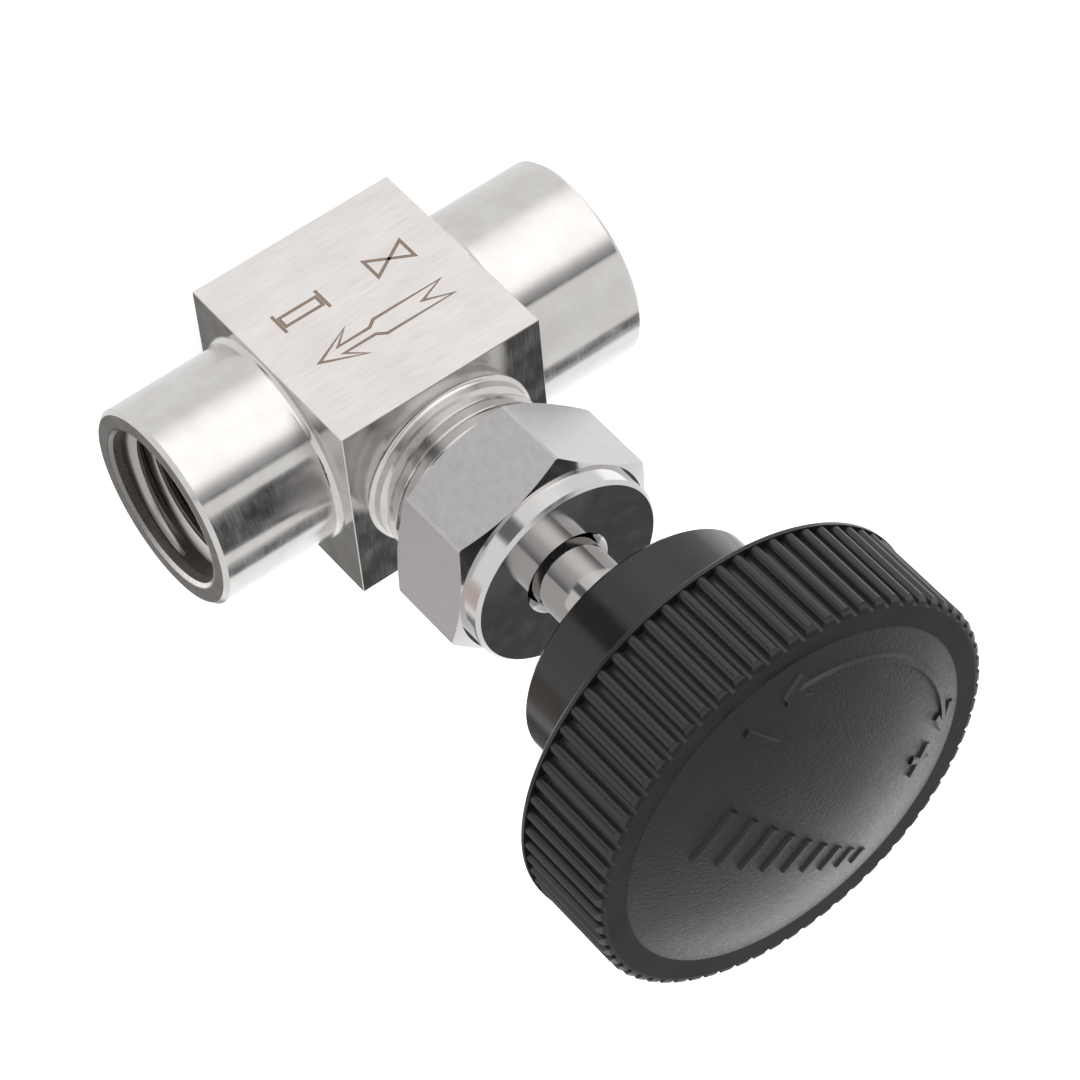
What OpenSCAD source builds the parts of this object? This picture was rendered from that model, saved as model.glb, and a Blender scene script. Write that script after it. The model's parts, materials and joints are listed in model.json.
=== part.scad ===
// Needle valve with two female pipe ports in line, a rising stem in a packed bonnet
// and a ribbed plastic handwheel. Millimetres. The stem axis is +Z through the origin,
// the underside of the body lies on z = 0 and the fluid flows along +X.
// The model is drawn partly open, with the needle raised by lift_now from its seat.

/* [Body block] */
// Size of the square block along the pipe line
block_w = 18.2; // [17.6:0.1:19]
// Size of the block from front to back
block_d = 17.8; // [17.6:0.1:19]
// Height of the block
block_h = 19.3; // [18.5:0.1:20]
// Bevel on every edge of the block
block_bevel = 0.06; // [0.04:0.02:0.4]

/* [Pipe ports] */
// Outer radius of each port
port_r = 8.45; // [8:0.05:8.6]
// Length over both port faces
port_span = 39.3; // [38:0.1:42]
// Height of the port axis above the underside
port_z = 9.2; // [9:0.1:9.6]
// Bevel round the outside of a port face
port_bevel = 0.35; // [0.1:0.05:0.6]
// Radius of the threaded wall in the port, the major radius of a G 1/4 thread
pipe_major_r = 6.58; // [6.5:0.01:6.6]
// Radius of the drilled hole below the thread, the minor radius of a G 1/4 thread
pipe_minor_r = 5.72; // [5.7:0.01:5.9]
// Radius of the mouth of the port, outside its lead-in cone
mouth_r = 6.84; // [6.7:0.01:7]

/* [Bonnet] */
// Radius of the thread crests on the bonnet
bonnet_crest_r = 7.25; // [7.15:0.05:7.35]
// Radius of the thread grooves on the bonnet
bonnet_root_r = 6.62; // [6.5:0.02:6.8]
// Pitch of the bonnet thread
bonnet_pitch = 1; // [0.8:0.05:1.2]
// Height of the top of the bonnet
bonnet_top = 28.4; // [28:0.1:28.8]

/* [Packing nut] */
// Width across the flats of the nut
nut_flats = 17; // [16.8:0.1:17.4]
// Height of the underside of the nut
nut_z0 = 24.2; // [24:0.1:24.6]
// Height of the top of the hexagon
nut_z1 = 31.93; // [31.5:0.01:32.2]
// Height of the top of the round collar
collar_z1 = 33.79; // [33:0.01:34.5]
// Outer radius of the round collar
collar_r = 8.29; // [8:0.01:8.4]
// Radius of the stem hole through the collar
collar_hole_r = 3.2; // [3.15:0.01:3.4]
// Turn of the hexagon about the stem
nut_turn = 20.5; // [0:0.5:60]

/* [Stem] */
// Radius of the polished stem
stem_r = 3.05; // [3:0.01:3.08]
// Radius of the stem thread crests (M8 x 1)
stem_thread_r = 3.95; // [3.9:0.01:3.96]
// Pitch of the stem thread
stem_pitch = 1; // [0.8:0.05:1.2]
// How far the needle is drawn above its closed position
lift_now = 3; // [0:0.1:4]

/* [Flow path] */
// Radius of the seat and its orifice
seat_r = 1.6; // [1.4:0.05:1.8]
// Radius of the two passages to the ports
passage_r = 1.7; // [1.4:0.05:1.8]

/* [Handwheel] */
// Height of the underside of the hub
hub_z0 = 42.25; // [41.5:0.05:43]
// Radius of the hub
hub_r = 10.5; // [10:0.05:11]
// Height of the underside of the ribbed rim
rim_z0 = 51.3; // [50.8:0.1:51.8]
// Outer radius of the ribbed rim
rim_r = 17.65; // [17:0.05:18.5]
// Height of the top of the rim
rim_z1 = 60.2; // [59.8:0.1:61]
// Number of ribs round the rim
rib_count = 68; // [60:1:70]
// Depth of the grooves between the ribs
rib_depth = 0.8; // [0.6:0.05:1]
// Radius of the edge of the domed top
dome_r = 15.1; // [14:0.1:15.5]
// Height of the domed top above the rim
dome_h = 3.1; // [2:0.1:4]

/* [Hidden] */
$fn = 96;

gap = 0.02;             // clearance between two pieces that are fixed to each other
run_gap = 0.05;         // clearance between two pieces that turn or slide on each other
cut = 0.5;              // extra length of a cutting solid past the face that it opens

port_end = port_span / 2;
port_foot = 4;          // the port's solid starts this far from the stem axis, inside the block
port_depth = 10.5;      // from the port face to the flat bottom of the drilled hole
thread_depth = 9.2;     // from the port face to the end of its thread
port_lead = mouth_r - pipe_major_r;
root_fillet = 0.5;      // where the port grows out of the block
inlet_z = 5.6;          // height of the passage that ends below the seat
outlet_z = 11.2;        // height of the passage that leaves above the seat
seat_z = 8.6;           // height of the sealing edge
chamber_r = 3.4;
chamber_z0 = 9;
relief_z0 = 12;         // widened below the thread, for the lowest turns of the stem thread
female_z0 = 13;         // the stem thread in the body starts here
box_z0 = 22;            // floor of the packing box
box_r = 5;
box_mouth = 0.3;        // bevels on the top edges of the bonnet
female_r = stem_thread_r + run_gap + 0.02;
female_groove = 0.35;   // depth of the grooves of the body's stem thread
relief_r = female_r + 0.1;
seat_bevel = 0.35;      // width of the cone above the sealing edge
stem_land = 0.3;        // width of the flats on the crests and in the roots of the stem thread

bonnet_fillet = 0.45;   // where the bonnet grows out of the block
bonnet_thread_z = block_h + 1.4;
bonnet_plain_z = block_h + 0.95;    // the plain foot of the bonnet ends here
bonnet_turns = floor((bonnet_top - bonnet_thread_z - 0.5) / bonnet_pitch);
bonnet_land = 0.16;     // width of the flats on the crests and in the roots of the bonnet thread
thread_fit = 0.08;      // radial clearance between the nut's thread and the bonnet's
nut_roof_z = 29.4;
nut_seat = 0.63;        // height of the bevelled corners at each end of the hexagon
nut_edge = 0.07;        // depth of the narrow flats on the upright edges of the hexagon
nut_mouth = 0.3;        // bevel in the mouth of the nut's thread
collar_bevel = 0.28;
hole_bevel = 0.5;       // bevel in the collar round the stem

washer_t = 0.8;
ring_t = 1.4;
ring_bore_r = stem_r + run_gap;
ring_bevel = 0.1;       // bevel on the outer edges of flat rings
washer_fit = 0.15;      // radial clearance round the stem
gland_z0 = box_z0 + washer_t + 3 * ring_t;
gland_fit = 0.08;       // radial clearance round the stem

needle_r = 2.3;
needle_nose_r = 0.35;
needle_len = 4;
needle_half_angle = atan((needle_r - needle_nose_r) / needle_len);
needle_closed_z = seat_z - (seat_r - run_gap - needle_nose_r) / tan(needle_half_angle);
needle_z = needle_closed_z + lift_now;
needle_land = 0.6;
tip_top_z = needle_z + needle_len + needle_land;
stem_foot_z = tip_top_z + run_gap;
socket_r = 1.75;
socket_depth = 2.7;
tip_neck_r = 1;
tip_head_r = 1.6;
tip_head_z = stem_foot_z + 1.65;
tip_head_t = 1;
tip_bevel = 0.15;
tip_fit = 0.08;         // radial clearance between the tip's neck and its retaining ring
stem_thread_z0 = stem_foot_z + 1.6;
stem_thread_z1 = stem_thread_z0 + 5.5;
stem_top = 52.4;
stem_foot_r = 3;
stem_root_r = 3.3;      // radius in the roots of the stem thread
foot_bevel = 0.2;
stem_bevel = 0.4;

insert_r = 4.8;
insert_step = 0.3;      // the foot of the insert is this much narrower
insert_foot = 1;        // height of the narrower foot
insert_top = 51;
waist = 0.7;            // depth of the groove that locks the insert in the moulding
waist_z0 = 45;
waist_z1 = 48.4;
screw_z = 46.6;
screw_r = 1.5;
screw_turn = 118;
screw_in = stem_r - 0.35;
screw_len = 5;
flat_len = 4.4;         // length of the flat on the stem for the set screw
socket_across = 1.5;    // hexagon socket of the set screw
socket_deep = 2;
screw_room = 0.15;      // clearance of the screw's hole in the plastic

rib_inset = 0.08;       // the ribs stay this much inside the lip below them
rib_face_r = 0.5;       // radius of the round face of a rib
rib_groove_r = 0.33;    // radius of the round floor of a groove, half its width
rib_phase = 0.6;        // turn of the row of ribs, as a share of its pitch
rim_edge = 0.85;        // rounding of the rim towards the dome
rim_foot = 0.15;        // bevel under the rim
rim_lip = 0.45;         // thickness of the plain lip below the ribs
hub_bevel = 0.3;
dome_sphere = (dome_r * dome_r + dome_h * dome_h) / (2 * dome_h);

// Points of a row of V grooves with flat crests and flat roots, as [radius, height].
function groove_row(crest_r, root_r, pitch, z0, turns, land) = [
    for (i = [0 : turns - 1])
        for (p = [[crest_r, 0], [crest_r, land], [root_r, pitch / 2], [root_r, pitch / 2 + land]])
            [p[0], z0 + i * pitch + p[1]],
    [crest_r, z0 + turns * pitch]
];

// The bonnet thread, shifted outwards by clearance. Its grooves are the bonnet's, so the nut's
// bore takes the same points as its ridges.
function bonnet_thread(clearance) = [
    for (p = groove_row(bonnet_root_r, bonnet_crest_r, bonnet_pitch, bonnet_thread_z,
        bonnet_turns, bonnet_land)) [p[0] + clearance, p[1]]
];

// A box with all twelve edges bevelled, standing on z = 0.
module bevelled_box(size, bevel) {
    module face(a, b) polygon([[bevel - a / 2, -b / 2], [a / 2 - bevel, -b / 2],
        [a / 2, bevel - b / 2], [a / 2, b / 2 - bevel], [a / 2 - bevel, b / 2],
        [bevel - a / 2, b / 2], [-a / 2, b / 2 - bevel], [-a / 2, bevel - b / 2]]);
    translate([0, 0, size[2] / 2]) intersection() {
        linear_extrude(height = size[2], center = true) face(size[0], size[1]);
        rotate([90, 0, 0]) linear_extrude(height = size[1], center = true) face(size[0], size[2]);
        rotate([0, 90, 0]) linear_extrude(height = size[0], center = true) face(size[2], size[1]);
    }
}

// A hexagonal prism with narrow flats on its upright edges, its corners cut by a cone at both
// ends.
module bevelled_hexagon(flats, z0, z1, seat) {
    corner = flats / sqrt(3);
    end_r = flats / 2 + 0.02;
    intersection() {
        translate([0, 0, z0]) cylinder(r = corner, h = z1 - z0, $fn = 6);
        translate([0, 0, z0]) rotate([0, 0, 30])
            cylinder(r = (corner - nut_edge) / cos(30), h = z1 - z0, $fn = 6);
        rotate_extrude() polygon([[0, z0], [end_r, z0], [corner + 0.02, z0 + seat],
            [corner + 0.02, z1 - seat], [end_r, z1], [0, z1]]);
    }
}

// The outside of one port, from inside the block to its face, along +Z.
module port_outside() {
    root = block_w / 2;
    flare = port_r + root_fillet;
    difference() {
        rotate_extrude() polygon([[0, port_foot], [flare, port_foot], [flare, root + root_fillet],
            [port_r, root + root_fillet], [port_r, port_end - port_bevel],
            [port_r - port_bevel, port_end], [0, port_end]]);
        rotate_extrude() translate([flare, root + root_fillet]) circle(r = root_fillet, $fn = 48);
    }
}

// The hole of one port, along +Z, open at the port face. Its wide wall is where the thread is cut.
module port_inside() {
    rotate_extrude() polygon([[0, port_end - port_depth], [pipe_minor_r, port_end - port_depth],
        [pipe_minor_r, port_end - thread_depth], [pipe_major_r, port_end - thread_depth],
        [pipe_major_r, port_end - port_lead], [mouth_r, port_end], [mouth_r, port_end + cut],
        [0, port_end + cut]]);
}

module valve_body() {
    bonnet_flare = bonnet_crest_r + bonnet_fillet;
    female_turns = floor((box_z0 - female_z0) / stem_pitch);
    color("gainsboro") difference() {
        union() {
            bevelled_box([block_w, block_d, block_h], block_bevel);
            intersection() {
                translate([0, 0, port_z]) union() {
                    rotate([0, 90, 0]) port_outside();
                    rotate([0, -90, 0]) port_outside();
                }
                translate([-port_span, -block_d / 2, 0]) cube([2 * port_span, block_d, block_h]);
            }
            difference() {
                rotate_extrude() polygon([[0, block_h - 4], [bonnet_flare, block_h - 4],
                    [bonnet_flare, block_h + bonnet_fillet],
                    [bonnet_crest_r, block_h + bonnet_fillet], [bonnet_crest_r, bonnet_plain_z],
                    [bonnet_root_r, bonnet_thread_z], [0, bonnet_thread_z]]);
                rotate_extrude() translate([bonnet_flare, block_h + bonnet_fillet])
                    circle(r = bonnet_fillet, $fn = 48);
            }
            rotate_extrude() polygon(concat([[0, bonnet_thread_z - 0.1]], bonnet_thread(0),
                [[bonnet_root_r, bonnet_top - box_mouth], [bonnet_root_r - box_mouth, bonnet_top],
                 [0, bonnet_top]]));
        }
        translate([0, 0, port_z]) rotate([0, 90, 0]) port_inside();
        translate([0, 0, port_z]) rotate([0, -90, 0]) port_inside();
        translate([0, 0, outlet_z]) rotate([0, 90, 0])
            cylinder(r = passage_r, h = port_end - port_depth + cut);
        translate([0, 0, inlet_z]) rotate([0, -90, 0])
            cylinder(r = passage_r, h = port_end - port_depth + cut);
        translate([0, 0, inlet_z]) cylinder(r = seat_r, h = seat_z - inlet_z + cut);
        rotate_extrude() polygon(concat([[0, seat_z], [seat_r, seat_z],
            [seat_r + seat_bevel, chamber_z0], [chamber_r, chamber_z0], [chamber_r, relief_z0],
            [relief_r, relief_z0], [relief_r, female_z0]],
            groove_row(female_r, female_r + female_groove, stem_pitch, female_z0, female_turns,
                stem_land),
            [[box_r, box_z0], [box_r, bonnet_top - box_mouth], [box_r + box_mouth, bonnet_top],
             [box_r + box_mouth, bonnet_top + cut], [0, bonnet_top + cut]]));
    }
}

// A flat ring round the stem.
module flat_ring(outer_r, inner_r, z0, height, bevel) {
    rotate_extrude() polygon([[inner_r, z0], [outer_r - bevel, z0], [outer_r, z0 + bevel],
        [outer_r, z0 + height - bevel], [outer_r - bevel, z0 + height], [inner_r, z0 + height]]);
}

module packing_ring(place) {
    color("white") flat_ring(box_r - gap, ring_bore_r, box_z0 + washer_t + place * ring_t,
        ring_t, ring_bevel);
}

module packing_washer() {
    color("silver") flat_ring(box_r - gap, stem_r + washer_fit, box_z0, washer_t, ring_bevel);
}

module packing_gland() {
    color("gold") flat_ring(box_r - gap, stem_r + gland_fit, gland_z0, nut_roof_z - gland_z0,
        ring_bevel);
}

module packing_nut() {
    mouth = bonnet_crest_r + nut_mouth;
    color("silver") difference() {
        union() {
            rotate([0, 0, nut_turn]) bevelled_hexagon(nut_flats, nut_z0, nut_z1, nut_seat);
            rotate_extrude() polygon([[0, nut_z0 + nut_seat], [collar_r, nut_z0 + nut_seat],
                [collar_r, collar_z1 - collar_bevel], [collar_r - collar_bevel, collar_z1],
                [0, collar_z1]]);
        }
        rotate_extrude() polygon(concat([[0, nut_z0 - cut], [mouth, nut_z0 - cut],
            [mouth, nut_z0], [bonnet_crest_r + thread_fit, nut_z0 + nut_mouth]],
            [for (p = bonnet_thread(thread_fit)) if (p[1] > nut_z0 + nut_mouth) p],
            [[bonnet_root_r + thread_fit, bonnet_top], [bonnet_crest_r, bonnet_top + nut_mouth],
             [bonnet_crest_r, nut_roof_z], [0, nut_roof_z]]));
        rotate_extrude() polygon([[0, nut_roof_z - cut], [collar_hole_r, nut_roof_z - cut],
            [collar_hole_r, collar_z1 - hole_bevel], [collar_hole_r + hole_bevel, collar_z1],
            [collar_hole_r + hole_bevel, collar_z1 + cut], [0, collar_z1 + cut]]);
    }
}

module needle_tip() {
    head_top = tip_head_z + tip_head_t;
    color("silver") rotate_extrude() polygon([[0, needle_z], [needle_nose_r, needle_z],
        [needle_r, needle_z + needle_len], [needle_r, tip_top_z], [tip_neck_r, tip_top_z],
        [tip_neck_r, tip_head_z + run_gap], [tip_head_r, tip_head_z + run_gap],
        [tip_head_r, head_top - tip_bevel], [tip_head_r - tip_bevel, head_top], [0, head_top]]);
}

module tip_retaining_ring() {
    color("silver") flat_ring(socket_r - gap, tip_neck_r + tip_fit, stem_foot_z + gap,
        tip_head_z - stem_foot_z - gap, ring_bevel);
}

module stem() {
    turns = floor((stem_thread_z1 - stem_thread_z0) / stem_pitch);
    color("whitesmoke") difference() {
        rotate_extrude() polygon(concat([[0, stem_foot_z], [stem_foot_r - foot_bevel, stem_foot_z],
            [stem_foot_r, stem_foot_z + foot_bevel], [stem_foot_r, stem_thread_z0]],
            groove_row(stem_root_r, stem_thread_r, stem_pitch, stem_thread_z0 + foot_bevel, turns,
                stem_land),
            [[stem_thread_r, stem_thread_z1 - foot_bevel], [stem_thread_r, stem_thread_z1],
             [stem_r, stem_thread_z1], [stem_r, stem_top - stem_bevel],
             [stem_r - stem_bevel, stem_top], [0, stem_top]]));
        translate([0, 0, stem_foot_z - cut]) cylinder(r = socket_r, h = socket_depth + cut);
        rotate([0, 0, screw_turn]) translate([screw_in - gap, -stem_r - cut, screw_z - flat_len / 2])
            cube([stem_r, 2 * (stem_r + cut), flat_len]);
    }
}

// The hole or the body of the set screw, pointing away from the stem at screw_turn.
module screw_bar(radius, start, length) {
    translate([0, 0, screw_z]) rotate([0, 0, screw_turn]) translate([start, 0, 0])
        rotate([0, 90, 0]) cylinder(r = radius, h = length);
}

module hub_set_screw() {
    color("dimgray") difference() {
        screw_bar(screw_r - gap, screw_in, screw_len);
        translate([0, 0, screw_z]) rotate([0, 0, screw_turn])
            translate([screw_in + screw_len - socket_deep, 0, 0]) rotate([0, 90, 0])
            cylinder(r = socket_across / sqrt(3), h = socket_deep + cut, $fn = 6);
    }
}

// The side of the insert, with its waist, or with clearance the side of the room that holds it.
function insert_side(clearance) = [
    [insert_r - insert_step + clearance, hub_z0],
    [insert_r - insert_step + clearance, hub_z0 + insert_foot],
    [insert_r + clearance, hub_z0 + insert_foot + insert_step],
    [insert_r + clearance, waist_z0 + clearance],
    [insert_r - waist + clearance, waist_z0 + clearance],
    [insert_r - waist + clearance, waist_z1 - clearance],
    [insert_r + clearance, waist_z1 - clearance], [insert_r + clearance, insert_top + clearance]
];

module hub_insert() {
    color("goldenrod") difference() {
        rotate_extrude() polygon(concat([[stem_r + gap, hub_z0]], insert_side(0),
            [[stem_r + gap, insert_top]]));
        screw_bar(screw_r, 0, insert_r + cut);
    }
}

// The outline of the ribbed rim: round ribs with deep round-bottomed grooves between them.
module rib_outline() {
    face = rim_r - rib_inset - rib_face_r;
    floor_r = rim_r - rib_inset - rib_depth + rib_groove_r;
    difference() {
        union() {
            circle(r = face);
            for (i = [0 : rib_count - 1]) rotate((i + rib_phase) * 360 / rib_count)
                translate([face, 0]) circle(r = rib_face_r, $fn = 48);
        }
        for (i = [0 : rib_count - 1]) rotate((i + rib_phase + 0.5) * 360 / rib_count)
            translate([floor_r, 0]) {
                circle(r = rib_groove_r, $fn = 48);
                translate([0, -rib_groove_r]) square([rib_depth + cut, 2 * rib_groove_r]);
            }
    }
}

// The envelope of the ribs, rounded towards the dome.
module rim_envelope() {
    rotate_extrude() polygon(concat([[0, rim_z0], [rim_r, rim_z0]],
        [for (a = [0 : 15 : 90]) [rim_r - rim_edge + rim_edge * cos(a),
            rim_z1 - rim_edge + rim_edge * sin(a)]],
        [[0, rim_z1]]));
}

// The room in the wheel for the insert and the top of the stem.
module insert_room() {
    stem_room = stem_r + 2 * gap;
    rotate_extrude() polygon(concat([[0, hub_z0 - cut],
        [insert_r - insert_step + gap, hub_z0 - cut]],
        insert_side(gap),
        [[stem_room, insert_top + gap], [stem_room, stem_top + run_gap],
         [0, stem_top + run_gap]]));
}

module handwheel() {
    color("dimgray") difference() {
        union() {
            rotate_extrude() polygon([[0, hub_z0], [hub_r - hub_bevel, hub_z0],
                [hub_r, hub_z0 + hub_bevel], [hub_r, rim_z0 + cut], [0, rim_z0 + cut]]);
            rotate_extrude() polygon([[0, rim_z0], [rim_r - rim_foot, rim_z0],
                [rim_r, rim_z0 + rim_foot], [rim_r, rim_z0 + rim_lip], [0, rim_z0 + rim_lip]]);
            intersection() {
                translate([0, 0, rim_z0 + rim_lip / 2])
                    linear_extrude(height = rim_z1 - rim_z0 - rim_lip / 2) rib_outline();
                rim_envelope();
            }
            intersection() {
                translate([0, 0, rim_z1 + dome_h - dome_sphere]) sphere(r = dome_sphere, $fn = 128);
                translate([0, 0, rim_z1 - cut]) cylinder(r = dome_r, h = dome_h + 2 * cut);
            }
        }
        insert_room();
        screw_bar(screw_r + screw_room, 0, hub_r + cut);
    }
}

valve_body();
packing_washer();
packing_ring(0);  // packing_ring_lower
packing_ring(1);  // packing_ring_middle
packing_ring(2);  // packing_ring_upper
packing_gland();
packing_nut();
needle_tip();
stem();
tip_retaining_ring();
handwheel();
hub_insert();
hub_set_screw();
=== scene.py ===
import json
import math

import bmesh
import bpy
from mathutils import Matrix, Vector


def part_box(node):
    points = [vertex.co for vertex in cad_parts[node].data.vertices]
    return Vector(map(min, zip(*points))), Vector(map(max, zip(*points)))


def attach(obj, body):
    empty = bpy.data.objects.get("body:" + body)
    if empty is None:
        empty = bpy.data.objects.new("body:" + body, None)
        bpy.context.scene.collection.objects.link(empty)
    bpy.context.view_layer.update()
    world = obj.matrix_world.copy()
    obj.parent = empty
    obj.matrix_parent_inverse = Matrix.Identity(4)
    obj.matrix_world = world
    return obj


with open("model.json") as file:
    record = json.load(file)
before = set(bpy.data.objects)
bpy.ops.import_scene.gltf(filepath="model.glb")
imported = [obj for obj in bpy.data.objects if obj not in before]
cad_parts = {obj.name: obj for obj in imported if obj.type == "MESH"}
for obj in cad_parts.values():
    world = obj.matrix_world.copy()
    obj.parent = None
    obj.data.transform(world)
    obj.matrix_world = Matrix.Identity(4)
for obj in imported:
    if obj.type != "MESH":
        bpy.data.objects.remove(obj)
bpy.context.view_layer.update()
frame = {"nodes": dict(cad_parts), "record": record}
nodes = frame["nodes"]
scene = bpy.context.scene
scene.view_settings.view_transform = "Standard"

MM = 0.001

# ---------------------------------------------------------------- places, read from the frame

body_low, body_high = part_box("valve_body")
wheel_low, wheel_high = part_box("handwheel")
ports = {m["name"]: m for m in frame["record"]["mounts"] if m["kind"] == "threaded_hole"}

PORT_END = body_high.x
PORT_Z = ports["outlet_port"]["pos_m"][2]
THREAD_WALL_R = ports["outlet_port"]["dims"]["r_mm"] * MM
WHEEL_TOP = wheel_high.z
FRONT_FACE_Y = body_low.y

# sizes of the G 1/4 pipe thread
THREAD_PITCH = 1.337 * MM
THREAD_CREST_R = 5.72 * MM
MOUTH_R = 6.84 * MM
THREAD_DEPTH = 9.0 * MM
THREAD_START = 1.0 * MM     # the plain band at the mouth ends here

# where a finish changes: the block's end, just outside the nut's collar, the hub's height
BLOCK_END = 9.1 * MM
COLLAR_R = 8.42 * MM
HUB_H = 9.0 * MM

# the domed top of the handwheel, a cap of a sphere
DOME_R = 15.1 * MM
DOME_H = 3.1 * MM
DOME_SPHERE = (DOME_R * DOME_R + DOME_H * DOME_H) / (2 * DOME_H)


# ---------------------------------------------------------------- node helpers


class Nodes:
    """Short calls for the nodes of a material or of the world."""

    def __init__(self, tree):
        self.tree = tree

    def node(self, kind, **settings):
        made = self.tree.nodes.new("ShaderNode" + kind)
        for key, value in settings.items():
            setattr(made, key, value)
        return made

    def join(self, source, target):
        if isinstance(source, bpy.types.NodeSocket):
            self.tree.links.new(source, target)
        else:
            target.default_value = source

    def math(self, operation, first, second=0.0, third=0.0):
        made = self.node("Math", operation=operation)
        for value, target in zip((first, second, third), made.inputs):
            self.join(value, target)
        return made.outputs[0]

    def vector(self, operation, first, second=(0, 0, 0)):
        made = self.node("VectorMath", operation=operation)
        self.join(first, made.inputs[0])
        self.join(second, made.inputs[1])
        return made.outputs[1] if operation in ("DOT_PRODUCT", "LENGTH") else made.outputs[0]

    def length(self, first, second):
        """The length of the flat vector (first, second)."""
        return self.math("SQRT", self.math("ADD", self.math("MULTIPLY", first, first),
                                           self.math("MULTIPLY", second, second)))

    def rest(self, share):
        return self.math("SUBTRACT", 1.0, share)

    def blend(self, share, low, high):
        """A value that is low where share is 0 and high where it is 1."""
        return self.math("ADD", self.math("MULTIPLY", share, high),
                         self.math("MULTIPLY", self.rest(share), low))

    def split(self, source):
        made = self.node("SeparateXYZ")
        self.join(source, made.inputs[0])
        return made.outputs

    def combine(self, x, y, z):
        made = self.node("CombineXYZ")
        for value, target in zip((x, y, z), made.inputs):
            self.join(value, target)
        return made.outputs[0]

    def noise(self, place, scale, detail=3.0, roughness=0.5, distortion=0.0):
        made = self.node("TexNoise")
        self.join(place, made.inputs["Vector"])
        made.inputs["Scale"].default_value = scale
        made.inputs["Detail"].default_value = detail
        made.inputs["Roughness"].default_value = roughness
        made.inputs["Distortion"].default_value = distortion
        return made.outputs["Fac"]

    def ramp(self, value, low, high, out_low=0.0, out_high=1.0, kind="SMOOTHSTEP"):
        made = self.node("MapRange", interpolation_type=kind)
        for item, key in ((value, "Value"), (low, "From Min"), (high, "From Max"),
                          (out_low, "To Min"), (out_high, "To Max")):
            self.join(item, made.inputs[key])
        return made.outputs[0]

    def mix(self, factor, first, second):
        made = self.node("Mix", data_type="RGBA")
        self.join(factor, made.inputs["Factor"])
        self.join(first, made.inputs[6])
        self.join(second, made.inputs[7])
        return made.outputs[2]

    def bump(self, height, distance, strength=1.0, after=None):
        made = self.node("Bump")
        made.inputs["Strength"].default_value = strength
        made.inputs["Distance"].default_value = distance
        self.join(height, made.inputs["Height"])
        if after is not None:
            self.join(after, made.inputs["Normal"])
        return made.outputs[0]


class Shader(Nodes):
    """A new material."""

    def __init__(self, name):
        self.material = bpy.data.materials.new(name)
        self.material.use_nodes = True
        super().__init__(self.material.node_tree)
        self.bsdf = self.tree.nodes["Principled BSDF"]
        self.place = self.node("TexCoord").outputs["Object"]
        self.normal = self.bsdf.inputs["Normal"]

    def spread(self, x, y, z):
        """Object coordinates in new units; 1000 turns metres into millimetres."""
        return self.vector("MULTIPLY", self.place, (x, y, z))

    def evenly(self, scale):
        return self.spread(scale, scale, scale)

    def set(self, **values):
        for key, value in values.items():
            self.join(value, self.bsdf.inputs[key.replace("_", " ")])
        return self


def colour(red, green, blue):
    return (red, green, blue, 1.0)


# ---------------------------------------------------------------- materials


def around_z(shader, along, around):
    """Coordinates that run long way round the stem axis: fine lines of a lathe tool."""
    x, y, z = shader.split(shader.place)
    return shader.combine(shader.math("MULTIPLY", shader.length(x, y), along),
                          shader.math("MULTIPLY", shader.math("ARCTAN2", y, x), around),
                          shader.math("MULTIPLY", z, along))


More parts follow.
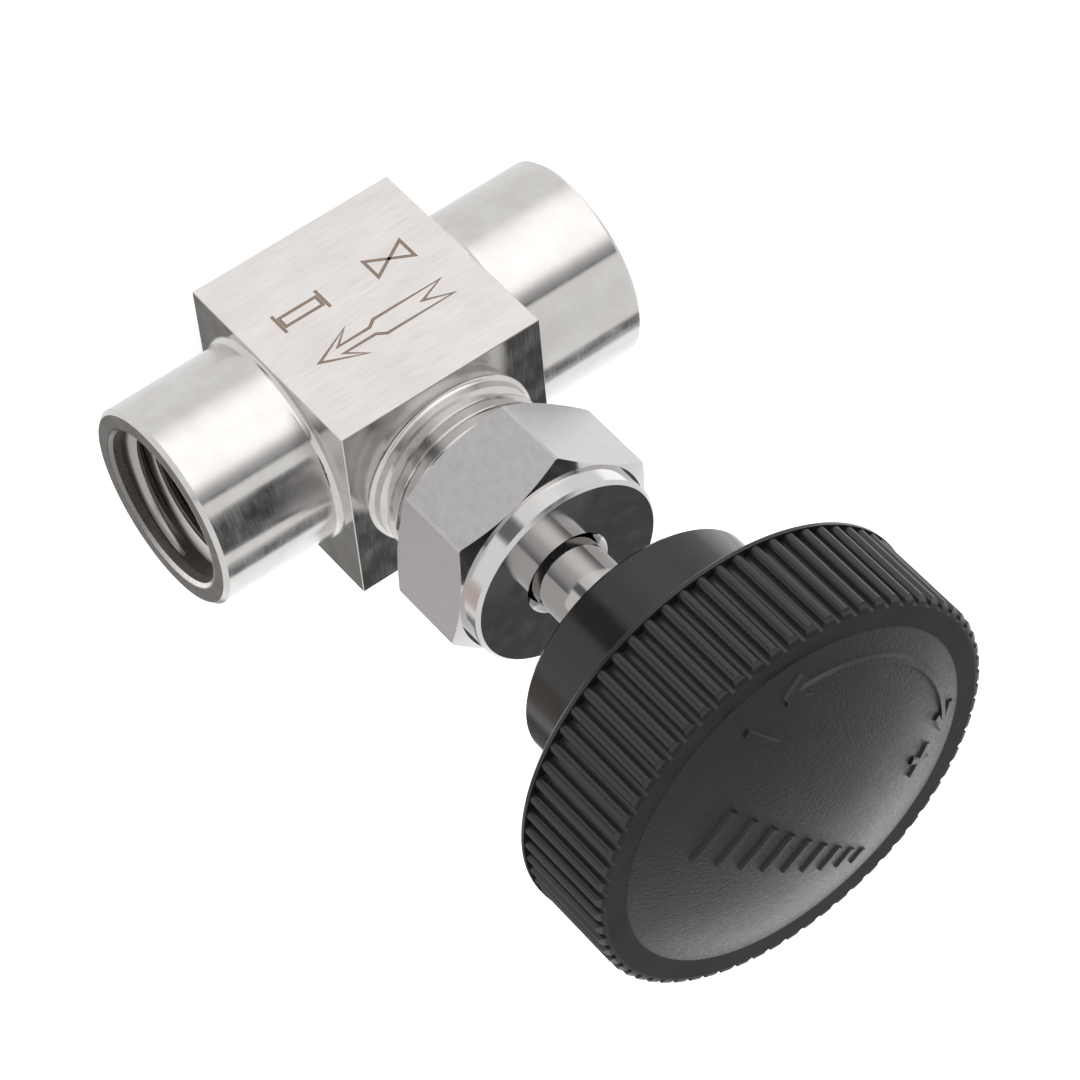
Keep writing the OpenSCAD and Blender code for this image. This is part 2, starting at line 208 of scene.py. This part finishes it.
def body_material():
    """Machined stainless: a brushed front, turned ports and bonnet, satin sides."""
    s = Shader("body_steel")
    x, y, z = s.split(s.place)
    along = s.math("ABSOLUTE", x)
    front = s.ramp(s.split(s.node("NewGeometry").outputs["Normal"])[1], -0.90, -0.985)
    brushed = s.math("MULTIPLY", front, s.ramp(along, BLOCK_END + 0.3 * MM, BLOCK_END + 0.1 * MM))

    # long fine lines across the front face
    lines = s.noise(s.combine(s.math("MULTIPLY", x, 60.0), 0.0, s.math("MULTIPLY", z, 1500.0)),
                    6.0, detail=6.0, roughness=0.62)
    patches = s.noise(s.combine(s.math("MULTIPLY", x, 90.0), y, s.math("MULTIPLY", z, 260.0)), 1.6)

    # tool marks round the port axis
    port_y, port_z = y, s.math("SUBTRACT", z, PORT_Z)
    angle = s.math("ARCTAN2", port_z, port_y)
    turned = s.noise(s.combine(s.math("MULTIPLY", x, 2600.0), s.math("MULTIPLY", angle, 2.0), 0.0),
                     3.0, detail=5.0, roughness=0.6)
    smear = s.noise(s.evenly(500.0), 1.0, detail=4.0)

    # the inside of the ports: darker, browner thread roots, a rough mouth, and painted light: the
    # upper walls painted lighter and the lower walls painted darker, as if lit and shaded
    port_radius = s.length(port_y, port_z)
    in_port = s.math("MULTIPLY", s.ramp(port_radius, 7.0 * MM, 6.9 * MM),
                     s.ramp(along, BLOCK_END + 0.2 * MM, BLOCK_END + 0.5 * MM))
    groove = s.math("MULTIPLY", in_port, s.ramp(port_radius, 6.3 * MM, 6.5 * MM))
    mouth = s.ramp(along, PORT_END - THREAD_START, PORT_END - 0.9 * THREAD_START)
    streaks = s.noise(s.combine(s.math("MULTIPLY", angle, 9.0), x, 0.0), 3.0, detail=5.0)
    # painted light: 1 on the upper walls of the port, painted lighter as if lit, 0 on the lower
    # walls, painted darker as if shaded
    painted_lit_upper_side = s.ramp(port_z, -5.0 * MM, 4.0 * MM)

    # the outside of the ports, past the fillet at the block
    outside = s.math("MULTIPLY", s.ramp(port_radius, 8.0 * MM, 8.2 * MM),
                     s.ramp(along, BLOCK_END + 0.4 * MM, BLOCK_END + 0.8 * MM))

    bright = s.mix(s.ramp(patches, 0.3, 0.75), colour(0.68, 0.655, 0.64), colour(0.74, 0.72, 0.705))
    bright = s.mix(s.ramp(lines, 0.4, 0.7, 0.0, 0.4), bright, colour(0.52, 0.49, 0.475))
    plain = s.mix(s.ramp(smear, 0.3, 0.7), colour(0.59, 0.575, 0.565), colour(0.65, 0.64, 0.63))
    # painted light and shade: the ridges, the thread roots and the mouth band are painted near
    # white on the upper walls and dark on the lower walls
    ridges = s.mix(painted_lit_upper_side, colour(0.4, 0.385, 0.375), colour(0.8, 0.78, 0.77))
    roots_with_painted_light = s.mix(painted_lit_upper_side, colour(0.18, 0.15, 0.125), colour(0.48, 0.44, 0.41))
    band = s.mix(painted_lit_upper_side, colour(0.24, 0.23, 0.22), colour(0.95, 0.93, 0.91))
    band = s.mix(s.ramp(streaks, 0.35, 0.75, 0.0, 0.35), band, colour(0.16, 0.15, 0.145))
    metal = s.mix(brushed, plain, bright)
    metal = s.mix(in_port, metal, ridges)
    metal = s.mix(groove, metal, roots_with_painted_light)
    metal = s.mix(s.math("MULTIPLY", in_port, mouth), metal, band)

    rough_front = s.ramp(lines, 0.2, 0.8, 0.34, 0.5)
    rough_plain = s.math("ADD", s.ramp(smear, 0.2, 0.8, 0.09, 0.17),
                         s.math("ADD", s.math("MULTIPLY", in_port, 0.16),
                                s.ramp(turned, 0.4, 0.7, 0.0, 0.05)))
    rough_plain = s.math("MULTIPLY_ADD", outside, 0.05, rough_plain)
    # the lathe's rings spread a reflection along the port
    s.set(Metallic=1.0, Base_Color=metal, Roughness=s.blend(brushed, rough_plain, rough_front),
          Anisotropic=s.math("MULTIPLY", outside, 0.9), Tangent=s.combine(1.0, 0.0, 0.0))
    scratched = s.bump(s.math("MULTIPLY", lines, brushed), 0.012 * MM, 0.6)
    s.join(s.bump(s.math("MULTIPLY", turned, s.rest(brushed)), 0.007 * MM, 0.6, scratched),
           s.normal)
    return s.material


def nut_material():
    """Drawn hexagon bar with satin flats and a bright turned collar and faces."""
    s = Shader("nut_steel")
    x, y, z = s.split(s.place)
    nz = s.split(s.node("NewGeometry").outputs["Normal"])[2]
    flats = s.math("MULTIPLY", s.ramp(s.math("ABSOLUTE", nz), 0.12, 0.05),
                   s.ramp(s.length(x, y), COLLAR_R, COLLAR_R + 0.05 * MM))
    drawn = s.noise(s.spread(900.0, 900.0, 450.0), 2.2, detail=6.0, roughness=0.7)
    spots = s.noise(s.spread(700.0, 700.0, 500.0), 1.2, detail=5.0)
    rings = s.noise(around_z(s, 2600.0, 1.5), 3.0, detail=4.0)
    satin = s.mix(s.ramp(drawn, 0.3, 0.7), colour(0.47, 0.455, 0.465), colour(0.52, 0.51, 0.52))
    satin = s.mix(s.ramp(spots, 0.55, 0.8, 0.0, 0.4), satin, colour(0.4, 0.38, 0.38))
    polish = colour(0.62, 0.612, 0.608)
    s.set(Metallic=1.0, Base_Color=s.mix(flats, polish, satin),
          Roughness=s.blend(flats, s.ramp(spots, 0.2, 0.8, 0.07, 0.14),
                            s.ramp(drawn, 0.2, 0.8, 0.26, 0.4)))
    grain = s.bump(s.math("MULTIPLY", drawn, flats), 0.01 * MM, 0.5)
    s.join(s.bump(s.math("MULTIPLY", rings, s.rest(flats)), 0.003 * MM, 0.5, grain), s.normal)
    return s.material


def polished_material():
    """Ground and polished stem."""
    s = Shader("stem_steel")
    rings = s.noise(around_z(s, 2200.0, 1.2), 3.0, detail=5.0)
    haze = s.noise(s.evenly(400.0), 1.5)
    s.set(Metallic=1.0, Roughness=s.ramp(haze, 0.2, 0.8, 0.06, 0.12),
          Base_Color=s.mix(haze, colour(0.44, 0.43, 0.422), colour(0.51, 0.5, 0.495)))
    s.join(s.bump(rings, 0.003 * MM, 0.5), s.normal)
    return s.material


def turned_material(name, dark, light, rough):
    """Plain turned metal for the small inner pieces."""
    s = Shader(name)
    rings = s.noise(around_z(s, 2600.0, 2.0), 2.5, detail=5.0)
    s.set(Metallic=1.0, Roughness=s.ramp(rings, 0.2, 0.8, rough, rough + 0.12),
          Base_Color=s.mix(rings, colour(*dark), colour(*light)))
    s.join(s.bump(rings, 0.006 * MM, 0.6), s.normal)
    return s.material


def ptfe_material():
    """Waxy white packing."""
    s = Shader("ptfe")
    cloud = s.noise(s.evenly(300.0), 1.5)
    s.set(Roughness=s.ramp(cloud, 0.2, 0.8, 0.42, 0.58),
          Base_Color=s.mix(cloud, colour(0.86, 0.86, 0.84), colour(0.93, 0.93, 0.92)))
    s.join(s.bump(cloud, 0.01 * MM, 0.4), s.normal)
    return s.material


def plastic_material():
    """Black moulding: smooth satin sides, grooves painted a lighter grey, a fine eroded grain on
    the domed top.
    """
    s = Shader("black_plastic")
    x, y, z = s.split(s.place)
    nz = s.split(s.node("NewGeometry").outputs["Normal"])[2]
    radius = s.length(x, y)

    # masks: the dome, the flat ring round it, the grooves between the ribs, the hub
    inside = DOME_R - 0.1 * MM
    dome = s.math("MULTIPLY", s.ramp(nz, 0.5, 0.62), s.ramp(radius, DOME_R, inside))
    ring = s.math("MULTIPLY", s.ramp(nz, 0.8, 0.95), s.ramp(radius, inside, DOME_R))
    # the grooves' floors lie 0.9 mm inside the rim; their inner half is painted a lighter grey
    in_ribs = s.math("MULTIPLY", s.ramp(radius, 16.4 * MM, 16.5 * MM),
                     s.ramp(radius, 17.45 * MM, 17.0 * MM))
    groove = s.math("MULTIPLY", in_ribs, s.ramp(s.math("ABSOLUTE", nz), 0.4, 0.2))
    hub = s.ramp(z, wheel_low.z + HUB_H, wheel_low.z + HUB_H - 0.2 * MM)

    grain = s.noise(s.evenly(1000.0), 3.6, detail=3.0, roughness=0.75)
    mottle = s.noise(s.evenly(1000.0), 0.35, detail=4.0)
    flow = s.noise(s.spread(220.0, 220.0, 500.0), 1.3, detail=5.0)

    # the grain of the dome glitters where it is seen at a grazing angle
    grazing = s.ramp(s.node("LayerWeight").outputs["Facing"], 0.5, 0.85)
    sparkle = s.math("MULTIPLY", s.ramp(grain, 0.45, 0.6), grazing)
    gloss = s.math("ADD", s.math("MULTIPLY_ADD", grazing, 0.3, 0.27),
                   s.math("MULTIPLY", sparkle, 1.1))
    usual, less_on_ring = 0.5, -0.35
    gloss = s.math("MULTIPLY_ADD", dome, s.math("SUBTRACT", gloss, usual),
                   s.math("MULTIPLY_ADD", ring, less_on_ring, usual))
    black = s.mix(mottle, colour(0.008, 0.008, 0.0082), colour(0.015, 0.0148, 0.0145))
    s.set(Base_Color=s.mix(groove, black, colour(0.034, 0.034, 0.034)), Specular_IOR_Level=gloss,
          Roughness=s.math("SUBTRACT", s.ramp(flow, 0.25, 0.75, 0.25, 0.32),
                           s.math("MULTIPLY", hub, 0.17)))
    eroded = s.bump(s.math("MULTIPLY", grain, dome), 0.09 * MM, 1.0)
    s.join(s.bump(flow, 0.02 * MM, 0.25, eroded), s.normal)
    return s.material


def screw_material():
    """Black oxide on steel, rubbed bright here and there."""
    s = Shader("black_screw")
    rub = s.noise(s.evenly(900.0), 1.5, detail=5.0)
    s.set(Metallic=0.85, Roughness=s.ramp(rub, 0.2, 0.8, 0.3, 0.5),
          Base_Color=s.mix(s.ramp(rub, 0.55, 0.75), colour(0.03, 0.03, 0.033),
                           colour(0.12, 0.115, 0.11)))
    return s.material


def etched_material(name, dark, light):
    """Brown oxide line left by a marking laser."""
    s = Shader(name)
    dots = s.noise(s.evenly(1000.0), 7.0, detail=3.0)
    s.set(Metallic=0.35, Roughness=0.55, Base_Color=s.mix(dots, colour(*dark), colour(*light)))
    s.join(s.bump(dots, 0.02 * MM, 0.5), s.normal)
    return s.material


MATERIALS = {
    "body_steel": body_material(),
    "nut_steel": nut_material(),
    "stem_steel": polished_material(),
    "turned_steel": turned_material("turned_steel", (0.52, 0.51, 0.5), (0.62, 0.61, 0.6), 0.16),
    "insert_brass": turned_material("insert_brass", (0.5, 0.36, 0.16), (0.6, 0.46, 0.24), 0.2),
    "ptfe": ptfe_material(),
    "black_plastic": plastic_material(),
    "black_screw": screw_material(),
}
etched_edge = etched_material("etched_edge", (0.09, 0.055, 0.035), (0.17, 0.11, 0.075))
etched_core = etched_material("etched_core", (0.22, 0.16, 0.12), (0.36, 0.28, 0.22))


def dress_cad_nodes():
    """Each CAD node takes the finish of its material slot."""
    for part in frame["record"]["subparts"]:
        mesh_object = nodes[part["node"]]
        mesh_object.material_slots[0].material = MATERIALS[part["material_slot"]]


# ---------------------------------------------------------------- mesh helpers


def new_piece(name, vertices, faces, body, slot, *materials, smooth_under=40.0):
    """A mesh piece in the row frame that rides on a CAD body."""
    mesh = bpy.data.meshes.new(name)
    mesh.from_pydata([tuple(v) for v in vertices], [], faces)
    mesh.validate()
    work = bmesh.new()
    work.from_mesh(mesh)
    bmesh.ops.recalc_face_normals(work, faces=work.faces)
    work.to_mesh(mesh)
    work.free()
    for material in materials:
        mesh.materials.append(material)
    mesh.shade_smooth()
    mesh.set_sharp_from_angle(angle=math.radians(smooth_under))
    piece = bpy.data.objects.new(name, mesh)
    scene.collection.objects.link(piece)
    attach(piece, body)
    return piece


def loft(sections, closed=False):
    """Faces that join rings of equally many points; open rows of rings get end caps."""
    count = len(sections[0])
    vertices = [point for ring in sections for point in ring]
    faces = []
    rows = len(sections)
    for i in range(rows if closed else rows - 1):
        for j in range(count):
            a, b = i * count, (i + 1) % rows * count
            faces.append((a + j, a + (j + 1) % count, b + (j + 1) % count, b + j))
    if not closed:
        faces.append(tuple(range(count)))
        faces.append(tuple((rows - 1) * count + j for j in reversed(range(count))))
    return vertices, faces


# ---------------------------------------------------------------- pipe threads


def thread_ridge(name, turned):
    """The helical ridge of a female pipe thread, on the wall of one port."""
    groove_floor = 0.22 * MM                # plain wall left between two turns
    sunk = 0.02 * MM                        # how deep the ridge's foot lies in the wall
    half_base = 0.5 * (THREAD_PITCH - groove_floor)
    wall = THREAD_WALL_R + sunk
    half_crest, half_shoulder, shoulder_r = 0.09 * MM, 0.17 * MM, THREAD_CREST_R + 0.07 * MM
    profile = [(-half_base, wall), (-half_shoulder, shoulder_r), (-half_crest, THREAD_CREST_R),
               (half_crest, THREAD_CREST_R), (half_shoulder, shoulder_r), (half_base, wall)]
    steps = 96                              # sections in one turn
    run_in, run_out = 0.2, 0.6              # turns over which the ridge grows and dies away
    first_height = 0.05                     # share of its height at its first section
    start = THREAD_START + half_base
    turns = (THREAD_DEPTH - start - half_base) / THREAD_PITCH
    sections = []
    for i in range(int(turns * steps) + 1):
        turn = i / steps
        fade = min(1.0, turn / run_in + first_height, (turns - turn) / run_out)
        centre = start + THREAD_PITCH * turn
        angle = -2 * math.pi * turn
        ring = []
        for offset, radius in profile:
            depth = max(sunk, centre + offset)
            lead_in = MOUTH_R - depth
            radius = wall - (wall - radius) * fade
            radius = min(max(radius, lead_in), max(wall, lead_in + sunk))
            ring.append(Vector((PORT_END - depth, radius * math.cos(angle),
                                PORT_Z + radius * math.sin(angle))))
        sections.append(ring)
    if turned:
        half_turn = Matrix.Rotation(math.pi, 3, "Z")
        sections = [[half_turn @ p for p in ring] for ring in sections]
    vertices, faces = loft(sections)
    return new_piece(name, vertices, faces, "valve", "body_steel", MATERIALS["body_steel"])


# ---------------------------------------------------------------- etched marks


def etched_stroke(points, closed, width=0.26 * MM, edge=0.06 * MM):
    """A flat band along points (x, z) on the front face: dark edges and a paler core."""
    proud = 0.004 * MM                      # just in front of the face, to be seen
    longest_mitre, least_cosine = 2.2, 0.3
    count = len(points)
    rows = []
    for i, point in enumerate(points):
        before = points[i - 1] if closed or i > 0 else None
        after = points[(i + 1) % count] if closed or i < count - 1 else None
        ways = []
        if before is not None:
            ways.append((Vector(point) - Vector(before)).normalized())
        if after is not None:
            ways.append((Vector(after) - Vector(point)).normalized())
        way = (ways[0] + ways[-1]).normalized()
        across = Vector((-way.y, way.x))
        cosine = across.dot(Vector((-ways[0].y, ways[0].x)))
        stretch = min(longest_mitre, 1.0 / max(least_cosine, cosine))
        rows.append([Vector(point) + across * stretch * side
                     for side in (-width / 2, edge - width / 2, width / 2 - edge, width / 2)])
    vertices = [Vector((p.x, FRONT_FACE_Y - proud, p.y)) for row in rows for p in row]
    faces, cores = [], []
    for i in range(count if closed else count - 1):
        a, b = i * 4, (i + 1) % count * 4
        for j in range(3):
            faces.append((a + j, b + j, b + j + 1, a + j + 1))
            cores.append(1 if j == 1 else 0)
    return vertices, faces, cores


def etched_marks():
    """A flow arrow, and below it the drawing signs of a valve and of a flanged pipe."""
    # points are (x, height) in millimetres; the arrow is drawn by its upper half
    mid, row = 12.05, 7.0                   # heights of the arrow and of the two signs
    half = [(-3.6, 0.0), (-5.9, 0.9), (0.3, 0.9), (1.0, 0.41), (3.94, 0.41), (2.5, 1.6),
            (5.9, 0.0)]
    arrow = half + [(x, -h) for x, h in reversed(half[1:-1])]
    arrow = [(x, mid + h) for x, h in arrow]
    bow_tie = [(-5.9, row + 1.0), (-4.2, row), (-2.5, row + 1.0), (-2.5, row - 1.0), (-4.2, row),
               (-5.9, row - 1.0)]
    pipe = [(2.3, row + 0.5), (5.7, row + 0.5), (5.7, row - 0.5), (2.3, row - 0.5)]
    flanges = [[(x, row - 1.05), (x, row + 1.05)] for x in (2.0, 6.0)]
    strokes = [(arrow, True), (bow_tie, True), (pipe, True)]
    strokes += [(flange, False) for flange in flanges]
    vertices, faces, cores = [], [], []
    for points, closed in strokes:
        v, f, c = etched_stroke([(x * MM, z * MM) for x, z in points], closed)
        faces += [tuple(i + len(vertices) for i in face) for face in f]
        vertices += v
        cores += c
    piece = new_piece("etched_marks", vertices, faces, "valve", "body_steel", etched_edge,
                      etched_core)
    for polygon, core in zip(piece.data.polygons, cores):
        polygon.material_index = core
    return piece


# ---------------------------------------------------------------- moulded signs on the dome


def dome_height(x, y):
    return WHEEL_TOP - DOME_SPHERE + math.sqrt(DOME_SPHERE * DOME_SPHERE - x * x - y * y)


def raised_stroke(points, width, height):
    """A raised bar with sloping sides that follows points (x, y) over the dome."""
    foot, top, sunk = 0.5, 0.32, -0.05      # shares of the width, and of the height
    sections = []
    for i, point in enumerate(points):
        before, after = points[max(0, i - 1)], points[min(len(points) - 1, i + 1)]
        way = (Vector(after) - Vector(before)).normalized()
        across = Vector((-way.y, way.x))
        ring = []
        for side, lift in ((-foot, sunk), (-top, 1.0), (top, 1.0), (foot, sunk)):
            spot = Vector(point) + across * side * width
            ring.append(Vector((spot.x, spot.y, dome_height(spot.x, spot.y) + lift * height)))
        sections.append(ring)
    return loft(sections)


def line(start, end, steps=6):
    return [tuple(Vector(start).lerp(Vector(end), i / steps)) for i in range(steps + 1)]


def arc(radius, start, end, steps=40):
    angles = [math.radians(start + (end - start) * i / steps) for i in range(steps + 1)]
    return [(radius * math.cos(a), radius * math.sin(a)) for a in angles]


def dome_signs():
    """A double-headed curved arrow, a plus and a minus sign, and a row of growing bars."""
    width, height = 0.72 * MM, 0.22 * MM    # of every stroke
    radius, start, end = 12.9 * MM, 172.8, 273.2
    middle = math.radians(223.0)            # half way along the arrow
    upright = Vector((math.cos(middle), math.sin(middle)))
    sideways = Vector((-upright.y, upright.x))
    strokes = [arc(radius, start, end)]

    nose, barb, spread = 0.3 * MM, 1.7 * MM, 0.9 * MM
    for angle, turn in ((start, 1), (end, -1)):
        a = math.radians(angle)
        tip = Vector((radius * math.cos(a), radius * math.sin(a)))
        ahead = Vector((math.sin(a), -math.cos(a))) * turn
        out = Vector((math.cos(a), math.sin(a)))
        for side in (-1, 1):
            strokes.append(line(tip + ahead * nose, tip - ahead * barb + out * side * spread))

    arm = 1.4 * MM
    plus, minus = Vector((-10.0, 2.6)) * MM, Vector((3.6, -11.2)) * MM
    strokes.append(line(plus - sideways * arm, plus + sideways * arm))
    strokes.append(line(plus - upright * arm, plus + upright * arm))
    strokes.append(line(minus - sideways * arm, minus + sideways * arm))

    bars, spacing, offset = 9, 2.3 * MM, -3.1 * MM
    shortest, growth = 0.7, 1.7             # half lengths in millimetres
    for i in range(bars):
        foot = upright * offset + sideways * (i - (bars - 1) / 2) * spacing
        half = (shortest + growth * i / (bars - 1)) * MM
        strokes.append(line(foot - upright * half, foot + upright * half))

    vertices, faces = [], []
    for points in strokes:
        v, f = raised_stroke(points, width, height)
        faces += [tuple(i + len(vertices) for i in face) for face in f]
        vertices += v
    return new_piece("dome_signs", vertices, faces, "wheel_and_stem", "black_plastic",
                     MATERIALS["black_plastic"])


# ---------------------------------------------------------------- camera, floor and light


def make_camera():
    """The camera of a close product view, rolled so that the stem runs to the lower right."""
    azimuth, elevation, roll = math.radians(23.695), math.radians(32.01), math.radians(134.533)
    aim = Vector((-0.812, 1.147, 29.203)) * MM
    distance = 379.2 * MM
    back = Vector((math.sin(azimuth) * math.cos(elevation),
                   -math.cos(azimuth) * math.cos(elevation), math.sin(elevation)))
    level_right = Vector((0, 0, 1)).cross(back).normalized()
    level_up = back.cross(level_right)
    right = level_right * math.cos(roll) + level_up * math.sin(roll)
    up = level_up * math.cos(roll) - level_right * math.sin(roll)
    camera = bpy.data.objects.new("camera", bpy.data.cameras.new("camera"))
    camera.data.sensor_width = 36.0
    camera.data.lens = 170.05
    camera.data.clip_start = 0.01
    camera.data.clip_end = 10.0
    camera.matrix_world = Matrix.Translation(aim + back * distance) @ Matrix(
        (right, up, back)).transposed().to_4x4()
    scene.collection.objects.link(camera)
    scene.camera = camera


def make_floor():
    """A wide pale floor that glows a little. The steel reflects the studio, not the floor."""
    half = 4.0
    corners = [(-half, -half, 0), (half, -half, 0), (half, half, 0), (-half, half, 0)]
    mesh = bpy.data.meshes.new("floor")
    mesh.from_pydata(corners, [], [(0, 1, 2, 3)])
    floor = bpy.data.objects.new("floor", mesh)
    scene.collection.objects.link(floor)
    s = Shader("floor")
    s.set(Base_Color=colour(0.9, 0.9, 0.9), Roughness=0.9, Emission_Color=colour(1, 1, 1),
          Emission_Strength=0.62)
    mesh.materials.append(s.material)
    floor.visible_glossy = False
    floor.visible_shadow = False
    floor.visible_diffuse = False


def make_studio():
    """A soft pale tent round the object, brightest in front, with the gaps between its sheets."""
    world = bpy.data.worlds.new("studio")
    scene.world = world
    world.use_nodes = True
    n = Nodes(world.node_tree)
    way = n.node("TexCoord").outputs["Generated"]

    def patch(direction, inner, outer):
        """1 within inner degrees of a direction, 0 beyond outer degrees."""
        return n.ramp(n.vector("DOT_PRODUCT", way, Vector(direction).normalized()),
                      math.cos(math.radians(outer)), math.cos(math.radians(inner)))

    patches = [
        # direction, inner, outer, colour
        ((-0.3, 0.95, -0.05), 15, 45, (0.92, 0.92, 0.92)),
        ((-0.33, -0.93, 0.12), 15, 46, (1.25, 1.23, 1.22)),
        ((0.17, 0.83, -0.53), 12, 24, (0.17, 0.165, 0.16)),
        ((0.75, 0.40, -0.53), 5, 18, (0.48, 0.41, 0.38)),
        ((0.48, -0.70, -0.53), 6, 14, (0.13, 0.13, 0.13)),
        ((-0.34, 0.745, 0.573), 7, 12, (0.05, 0.05, 0.05)),
        ((-0.83, 0.185, -0.53), 8, 18, (1.05, 1.05, 1.05)),
    ]
    tone = colour(0.72, 0.715, 0.71)
    for direction, inner, outer, shade in patches:
        tone = n.mix(patch(direction, inner, outer), tone, colour(*shade))

    # the seam where the front sheet hangs from the top sheet, and its shadow on the front sheet;
    # distances from the seam are sines of angles, and it fades out towards the horizon
    seam = math.radians(125.0)
    from_seam = n.vector("DOT_PRODUCT", way, (0.0, math.sin(seam), -math.cos(seam)))
    above = n.ramp(n.split(way)[2], 0.2, 0.35)
    shadow = n.math("MULTIPLY", n.ramp(from_seam, -0.36, -0.03), n.ramp(from_seam, 0.02, 0.0))
    tone = n.mix(n.math("MULTIPLY", shadow, above), tone, colour(0.3, 0.3, 0.3))
    gap = n.ramp(n.math("ABSOLUTE", from_seam), 0.035, 0.015)
    tone = n.mix(n.math("MULTIPLY", gap, above), tone, colour(0.1, 0.1, 0.1))
    background = world.node_tree.nodes["Background"]
    background.inputs["Strength"].default_value = 1.35
    n.join(tone, background.inputs["Color"])


# ---------------------------------------------------------------- build

dress_cad_nodes()
thread_ridge("outlet_thread", False)
thread_ridge("inlet_thread", True)
etched_marks()
dome_signs()
make_camera()
make_floor()
make_studio()
